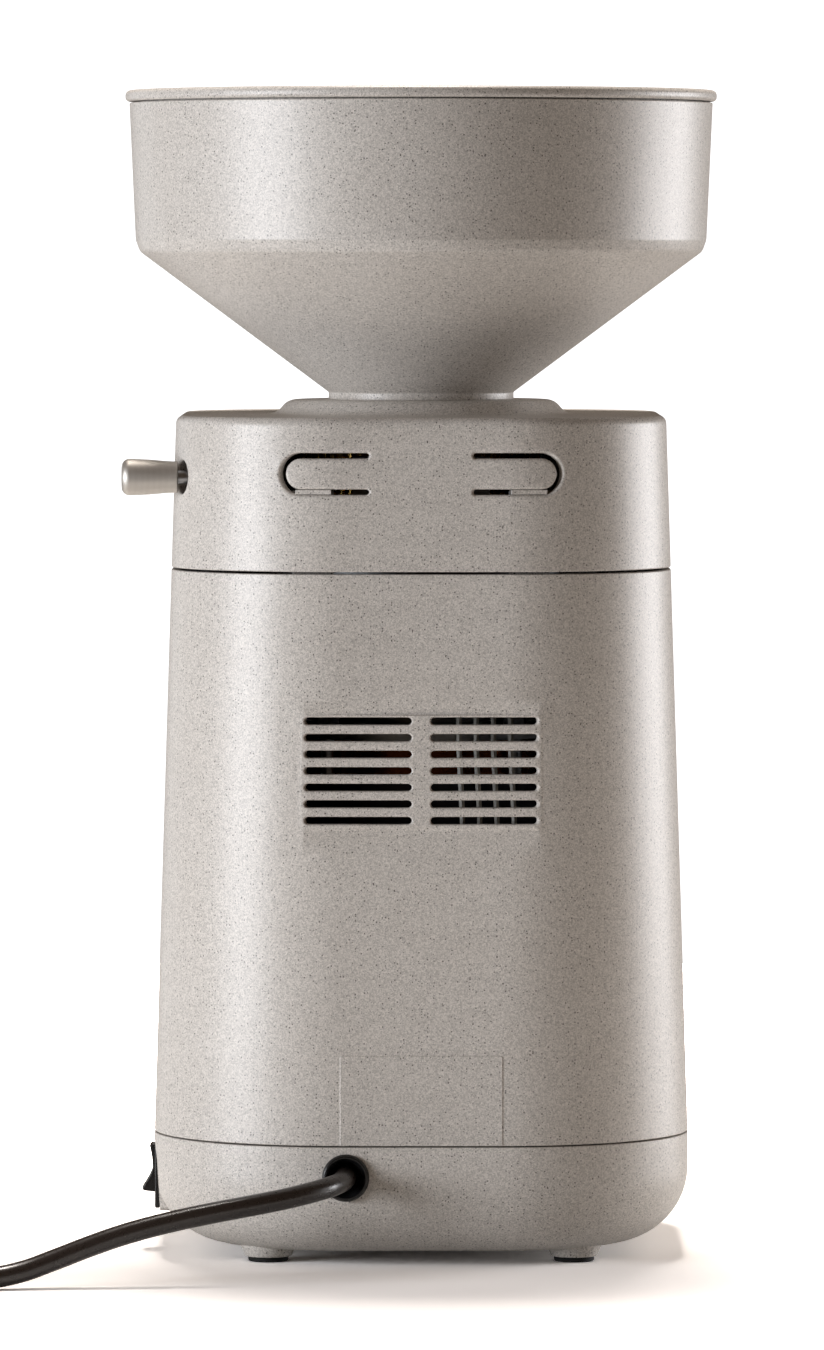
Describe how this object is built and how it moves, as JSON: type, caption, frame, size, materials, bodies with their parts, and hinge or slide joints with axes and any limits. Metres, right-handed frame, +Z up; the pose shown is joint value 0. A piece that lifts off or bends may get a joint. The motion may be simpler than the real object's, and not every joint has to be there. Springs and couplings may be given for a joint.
{
  "type": "burr coffee grinder",
  "caption": "Upright electric coffee grinder with a conical hopper and lid, speckled drafted housing, side adjuster knob, rear vents, power switch, front spout, fork and catch tray.",
  "frame": {"origin": "on the resting plane, on the common axis of the hopper, burrs and motor", "axes": "+Z up; +Y towards the back, where the mains lead leaves; -Y towards the spout; +X towards the adjuster knob and the power switch"},
  "size_m": [0.3193, 0.3036, 0.3426],
  "materials": {
    "speckled_shell": "speckled stone-effect moulded plastic, satin",
    "rubber_black": "matte moulded rubber",
    "steel": "zinc-plated and brushed steel",
    "dark_steel": "dark laminated or blackened steel",
    "copper": "enamelled copper winding",
    "aluminium": "die-cast, satin",
    "burr_steel": "ground tool steel",
    "brass": "turned brass",
    "knob_metal": "turned metal with fine lathe marks",
    "black_plastic": "matte moulded plastic",
    "gloss_black": "semi-gloss moulded plastic",
    "board_green": "coated circuit board",
    "cream_plastic": "film capacitor case",
    "wire_white": "insulated wire",
    "cord_pvc": "brown-black PVC sheath, semi-gloss",
    "brass_plated": "nickel-plated brass pins"
  },
  "bodies": {
    "housing": {"base_shell": "speckled_shell", "foot_pads": "rubber_black", "base_screws": "steel", "body_shell": "speckled_shell", "upper_housing": "speckled_shell", "motor_plate": "steel", "plate_screws": "steel", "stator_core": "dark_steel", "stator_windings": "copper", "motor_bracket_lower": "aluminium", "motor_bracket_upper": "aluminium", "motor_bolts": "steel", "motor_bearings": "steel", "grind_chamber": "aluminium", "chamber_screws": "steel", "worm_bracket": "aluminium", "bracket_screws": "steel", "outlet_chute": "black_plastic", "portafilter_fork": "steel", "fork_screws": "steel", "microswitch": "black_plastic", "switch_body": "gloss_black", "circuit_board": "board_green", "capacitor": "cream_plastic", "internal_wires": "wire_white", "cord_gland": "gloss_black", "power_cord": "cord_pvc", "cord_coil": "cord_pvc", "coil_tie": "black_plastic", "plug_body": "cord_pvc", "plug_pins": "brass_plated"},
    "rotor": {"motor_shaft": "steel", "rotor_core": "dark_steel", "cooling_fan": "black_plastic", "lower_burr_carrier": "aluminium", "lower_burr": "burr_steel", "lower_burr_screws": "dark_steel", "carrier_nut": "steel"},
    "burr_ring": {"adjusting_ring": "brass", "upper_burr": "burr_steel", "upper_burr_screws": "dark_steel"},
    "adjuster": {"worm_shaft": "steel", "adjuster_knob": "knob_metal"},
    "hopper_unit": {"hopper": "speckled_shell", "finger_guard": "steel"},
    "lid": {"hopper_lid": "speckled_shell"},
    "trigger": {"trigger_button": "black_plastic"},
    "rocker": {"switch_rocker": "gloss_black"},
    "tray": {"catch_tray": "black_plastic"},
    "tab_left": {"release_tab_left": "speckled_shell"},
    "tab_right": {"release_tab_right": "speckled_shell"}
  },
  "joints": [
    {"name": "motor_spin", "type": "hinge", "parent": "housing", "child": "rotor", "pos_m": [0, 0, 0.12], "axis": [0, 0, 1], "continuous": true},
    {"name": "ring_turn", "type": "hinge", "parent": "housing", "child": "burr_ring", "pos_m": [0, 0, 0.215], "axis": [0, 0, 1], "range_deg": [-30, 30]},
    {"name": "knob_turn", "type": "hinge", "parent": "housing", "child": "adjuster", "pos_m": [0, 0.039, 0.2291], "axis": [1, 0, 0], "range_deg": [-1800, 1800]},
    {"name": "hopper_lift", "type": "slide", "parent": "housing", "child": "hopper_unit", "axis": [0, 0, 1], "range_m": [0, 0.03]},
    {"name": "lid_lift", "type": "slide", "parent": "hopper_unit", "child": "lid", "axis": [0, 0, 1], "range_m": [0, 0.02]},
    {"name": "trigger_push", "type": "slide", "parent": "housing", "child": "trigger", "axis": [0, 1, 0], "range_m": [0, 0.0036], "stiffness_N_per_m": 400, "springref_m": -0.002},
    {"name": "rocker_tilt", "type": "hinge", "parent": "housing", "child": "rocker", "pos_m": [0.073, 0.012, 0.02305], "axis": [0, 1, 0], "range_deg": [0, 20]},
    {"name": "tray_slide", "type": "slide", "parent": "housing", "child": "tray", "axis": [0, -1, 0], "range_m": [0, 0.05]},
    {"name": "tab_left_press", "type": "hinge", "parent": "housing", "child": "tab_left", "pos_m": [0.01585, 0.06977, 0.23075], "axis": [0, 0, 1], "range_deg": [-3, 0], "stiffness_Nm_per_rad": 0.5},
    {"name": "tab_right_press", "type": "hinge", "parent": "housing", "child": "tab_right", "pos_m": [-0.01585, 0.06977, 0.23075], "axis": [0, 0, 1], "range_deg": [0, 3], "stiffness_Nm_per_rad": 0.5}
  ],
  "couplings": [
    {"joint": "knob_turn", "follows": "ring_turn", "ratio": 60}
  ]
}
